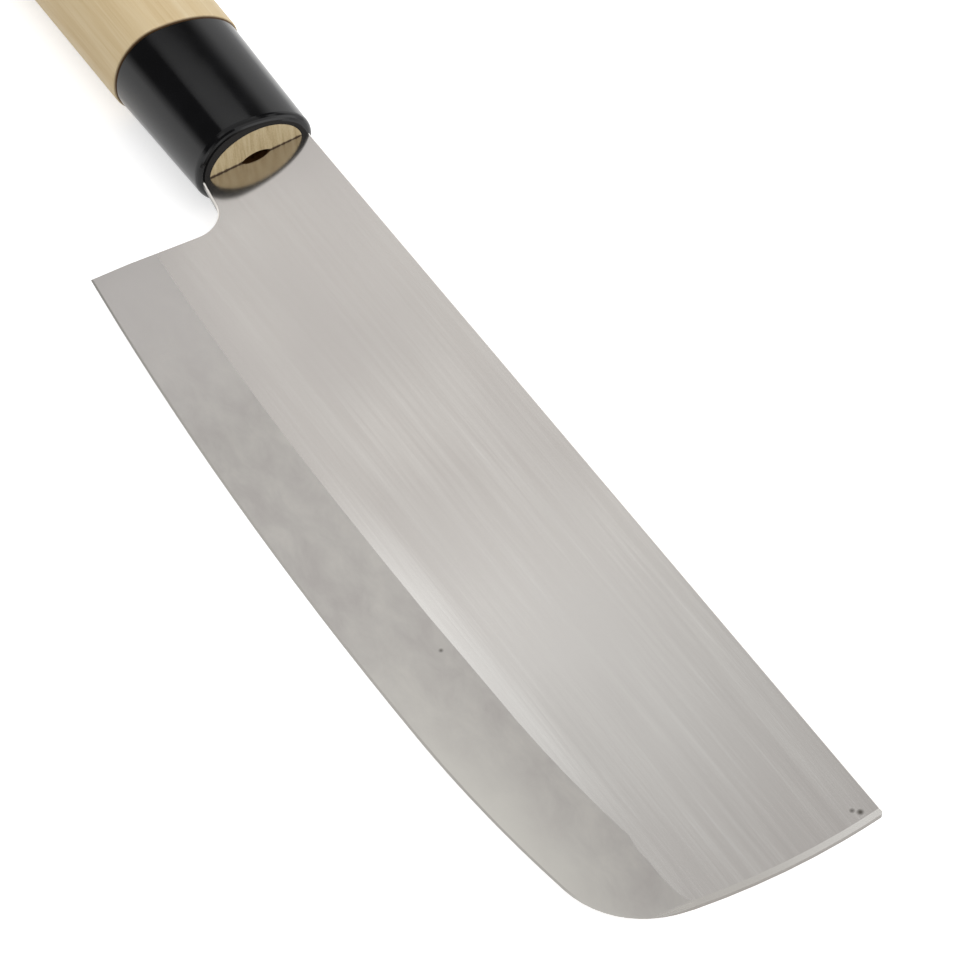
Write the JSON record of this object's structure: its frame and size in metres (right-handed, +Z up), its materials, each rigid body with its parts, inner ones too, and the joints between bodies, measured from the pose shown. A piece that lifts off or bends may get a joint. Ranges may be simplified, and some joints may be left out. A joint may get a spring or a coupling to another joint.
{
  "type": "kitchen knife",
  "caption": "Japanese vegetable knife with a square-ended bevelled blade, a D-shaped wooden handle and a black moulded ferrule.",
  "frame": {"origin": "centre of the bounding box at the surface that the knife lies on", "axes": "+X from the butt of the handle to the front of the blade, +Z up from the surface, +Y from the cutting edge to the spine; the knife lies on its cutting edge and the left side of its handle, with the right side of the blade facing up"},
  "size_m": [0.299, 0.054, 0.022],
  "materials": {
    "steel": "brushed",
    "ferrule": "gloss",
    "wood": "smooth bare magnolia",
    "resin": "set resin"
  },
  "bodies": {
    "root": {"blade": "steel", "ferrule": "ferrule", "handle": "wood", "tang_adhesive": "resin"}
  },
  "joints": []
}
